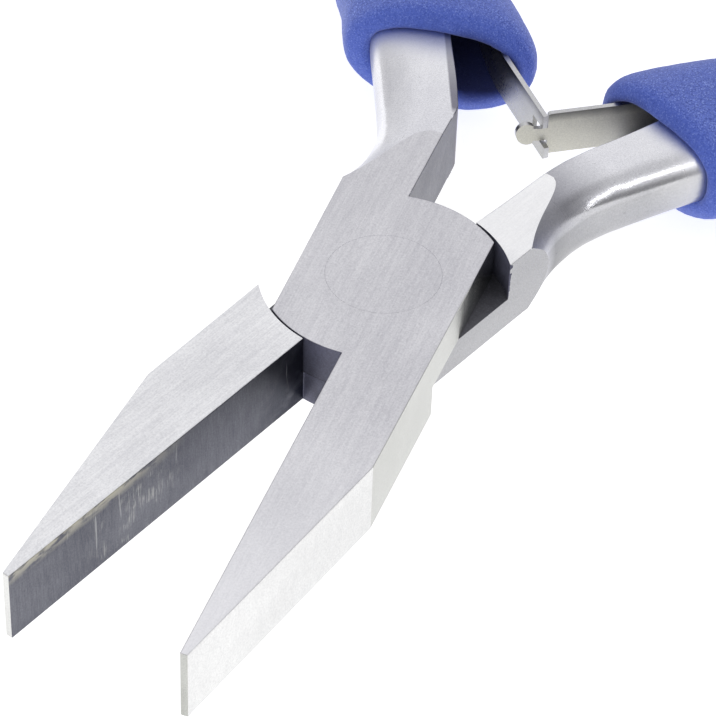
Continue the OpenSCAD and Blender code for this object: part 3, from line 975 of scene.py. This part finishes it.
def build_foam(name, lower, out_rows, in_rows, seed):
    """A sleeve of soft foam, closed at its rear."""
    rings = foam_rings(out_rows, in_rows)
    n, m = FOAM_STEPS, len(rings)
    faces = [(j * n + i, j * n + (i + 1) % n, (j + 1) * n + (i + 1) % n, (j + 1) * n + i)
             for j in range(m - 1) for i in range(n)]
    faces.append(tuple(range(n - 1, -1, -1)))
    faces.append(tuple((m - 1) * n + i for i in range(n)))
    co, rim, inside = (np.concatenate(values) for values in zip(*rings))
    matrix = pose_matrix(lower)
    mesh = bpy.data.meshes.new(name)
    mesh.from_pydata([tuple(matrix @ Vector(c)) for c in co], [], faces)
    mesh.materials.append(foam_material(name + "_foam", seed))
    for label, values in (("rim", rim), ("inside", inside)):
        mesh.attributes.new(label, "FLOAT", "POINT").data.foreach_set("value", values.astype(np.float32))
    turn_outwards(mesh)
    mesh.shade_smooth()
    o = link(name, mesh)
    # the cut and moulded skin isn't quite even
    uneven(o, "swell", 4.5 * MM, 2, 0.25 * MM)
    uneven(o, "pores", 0.4 * MM, 1, 0.05 * MM)
    return o


grip_a = build_foam("upper_foam_grip", False, FOAM_OUT_A + FOAM_REAR, FOAM_DEEP + FOAM_IN_A, 1.0)
grip_b = build_foam("lower_foam_grip", True, FOAM_OUT_B + FOAM_REAR, FOAM_DEEP + FOAM_IN_B, 2.0)
for o, node_name, body in ((grip_a, "upper_grip", "upper_handle"), (grip_b, "lower_grip", "lower_handle")):
    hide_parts(node_name)
    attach(o, body)

# ---------------------------------------------------------------- floor, light, camera
FLOOR_Z = -3.6 * MM      # just under the grips


def pale_floor_material():
    mat, _, bsdf = new_material("pale_floor")
    bsdf.inputs["Base Color"].default_value = (0.6, 0.6, 0.6, 1)
    bsdf.inputs["Roughness"].default_value = 0.9
    bsdf.inputs["Emission Color"].default_value = (1, 1, 1, 1)
    bsdf.inputs["Emission Strength"].default_value = 0.78
    return mat


bpy.ops.mesh.primitive_plane_add(size=3.0, location=(0, 0, FLOOR_Z))
floor = bpy.context.active_object
floor.name = "floor"
floor.data.materials.append(pale_floor_material())

world = bpy.data.worlds.new("studio")
bpy.context.scene.world = world
world.use_nodes = True
sky = world.node_tree
sky.nodes.clear()
background = add(sky, "Background")
background.inputs["Color"].default_value = (0.985, 0.985, 1.0, 1)
sky.links.new(background.outputs[0], add(sky, "OutputWorld").inputs["Surface"])
ray = add(sky, "TexCoord").outputs["Generated"]

SKY_BASE, SKY_LEAST = 0.58, 0.04
# Soft-edged patches of light or shade: (direction, outer and inner angle, strength)
LOBES = (
    ((-0.34, 0.65, 0.68), 50, 10, 0.4),       # behind on the left, for the tops
    ((-0.96, 0.20, 0.02), 50, 10, 0.2),       # left, low
    ((-0.75, 0.42, 0.50), 22, 6, -0.2),       # shade between those two
    ((0.50, 0.10, 0.86), 30, 8, 0.28),        # high on the right, for the lower half's handle
    ((0.36, 0.46, 0.81), 20, 8, -0.12),       # shade high on the right
    ((0.95, 0.10, 0.15), 20, 6, -0.3))        # shade low on the right


def lobe(axis, outer_deg, inner_deg, amount):
    """The strength that a patch adds."""
    towards = tuple(Vector(axis).normalized())
    dot = add(sky, "VectorMath", {0: ray, 1: towards}, operation="DOT_PRODUCT").outputs["Value"]
    patch = add(sky, "MapRange", {"Value": dot, "From Min": math.cos(math.radians(outer_deg)),
                                  "From Max": math.cos(math.radians(inner_deg))},
                interpolation_type="SMOOTHSTEP").outputs[0]
    return times(sky, patch, amount)


strength = SKY_BASE
for settings in LOBES:
    strength = plus(sky, strength, lobe(*settings))
sky.links.new(math_node(sky, "MAXIMUM", strength, SKY_LEAST), background.inputs["Strength"])


def area(name, place, size, power):
    """A rectangular light that faces the tool."""
    light = bpy.data.lights.new(name, "AREA")
    light.shape = "RECTANGLE"
    light.size, light.size_y = size
    light.energy = power
    o = link(name, light)
    o.location = place
    o.rotation_euler = (-Vector(place)).to_track_quat("-Z", "Y").to_euler()


area("top_softbox", (-0.2, 0.1, 0.8), (0.5, 0.5), 0.35)
area("front_softbox", (0.1, -0.8, 0.35), (0.5, 0.4), 0.5)
area("strip_light", (0.74, 0.19, 0.48), (0.035, 0.9), 0.72)

# The camera's axes and place, solved from the straight edges of the head and jaws
CAM_RIGHT = (0.87165, 0.48933, 0.02805)
CAM_UP = (-0.35173, 0.58464, 0.73108)
CAM_BACK = (0.34134, -0.64711, 0.68171)
CAM_PLACE = (0.08948, -0.17328, 0.17898)
CAM_LENS, CAM_SENSOR = 170.0, 36.0
cam_data = bpy.data.cameras.new("camera")
cam_data.sensor_width = CAM_SENSOR
cam_data.lens = CAM_LENS
cam_data.clip_start, cam_data.clip_end = 0.01, 10.0
cam = link("camera", cam_data)
axes = [(*axis, 0) for axis in (CAM_RIGHT, CAM_UP, CAM_BACK)]
cam.matrix_world = Matrix([*axes, (*CAM_PLACE, 1)]).transposed()
bpy.context.scene.camera = cam
bpy.context.scene.view_settings.view_transform = "Standard"
bpy.context.scene.cycles.use_denoising = True

bpy.context.view_layer.update()
